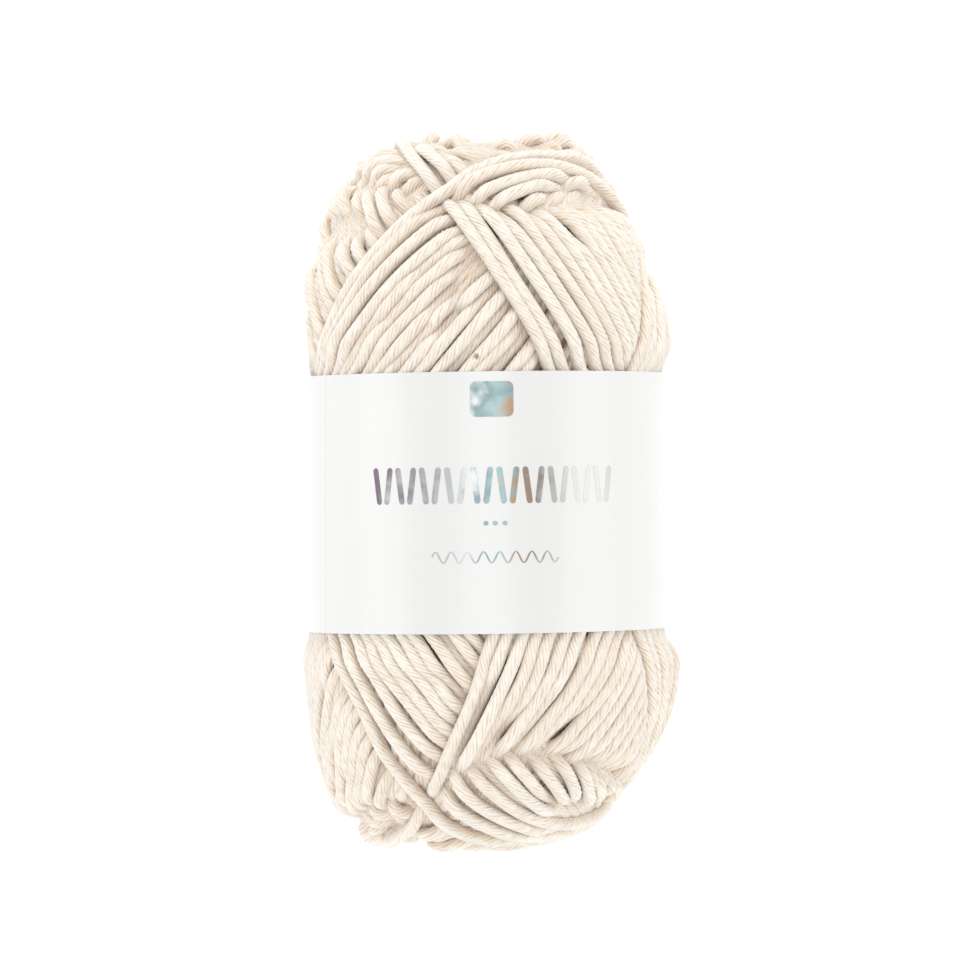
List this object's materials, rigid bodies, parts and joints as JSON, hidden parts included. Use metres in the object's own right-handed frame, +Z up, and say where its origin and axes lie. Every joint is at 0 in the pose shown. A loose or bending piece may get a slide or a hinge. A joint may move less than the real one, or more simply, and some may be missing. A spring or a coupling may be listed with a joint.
{
  "type": "ball of yarn",
  "caption": "Small centre-pull ball of cream DK cotton yarn, wound in crossing laps and held by a white paper band, lying on its side.",
  "frame": {"origin": "on the surface that the ball rests on, under the middle of its box", "axes": "+Z up, +Y along the ball's long axis towards its upper end, +X to the right of someone who looks down on the front of the band"},
  "size_m": [0.052, 0.1002, 0.0502],
  "materials": {
    "yarn_ball": "matt plied cotton, natural cream",
    "paper_band": "white coated paper with a slight gloss",
    "band_foil": "iridescent silver foil print on the band"
  },
  "bodies": {
    "root": {"yarn_ball": "yarn_ball", "paper_band": "paper_band"}
  },
  "joints": []
}
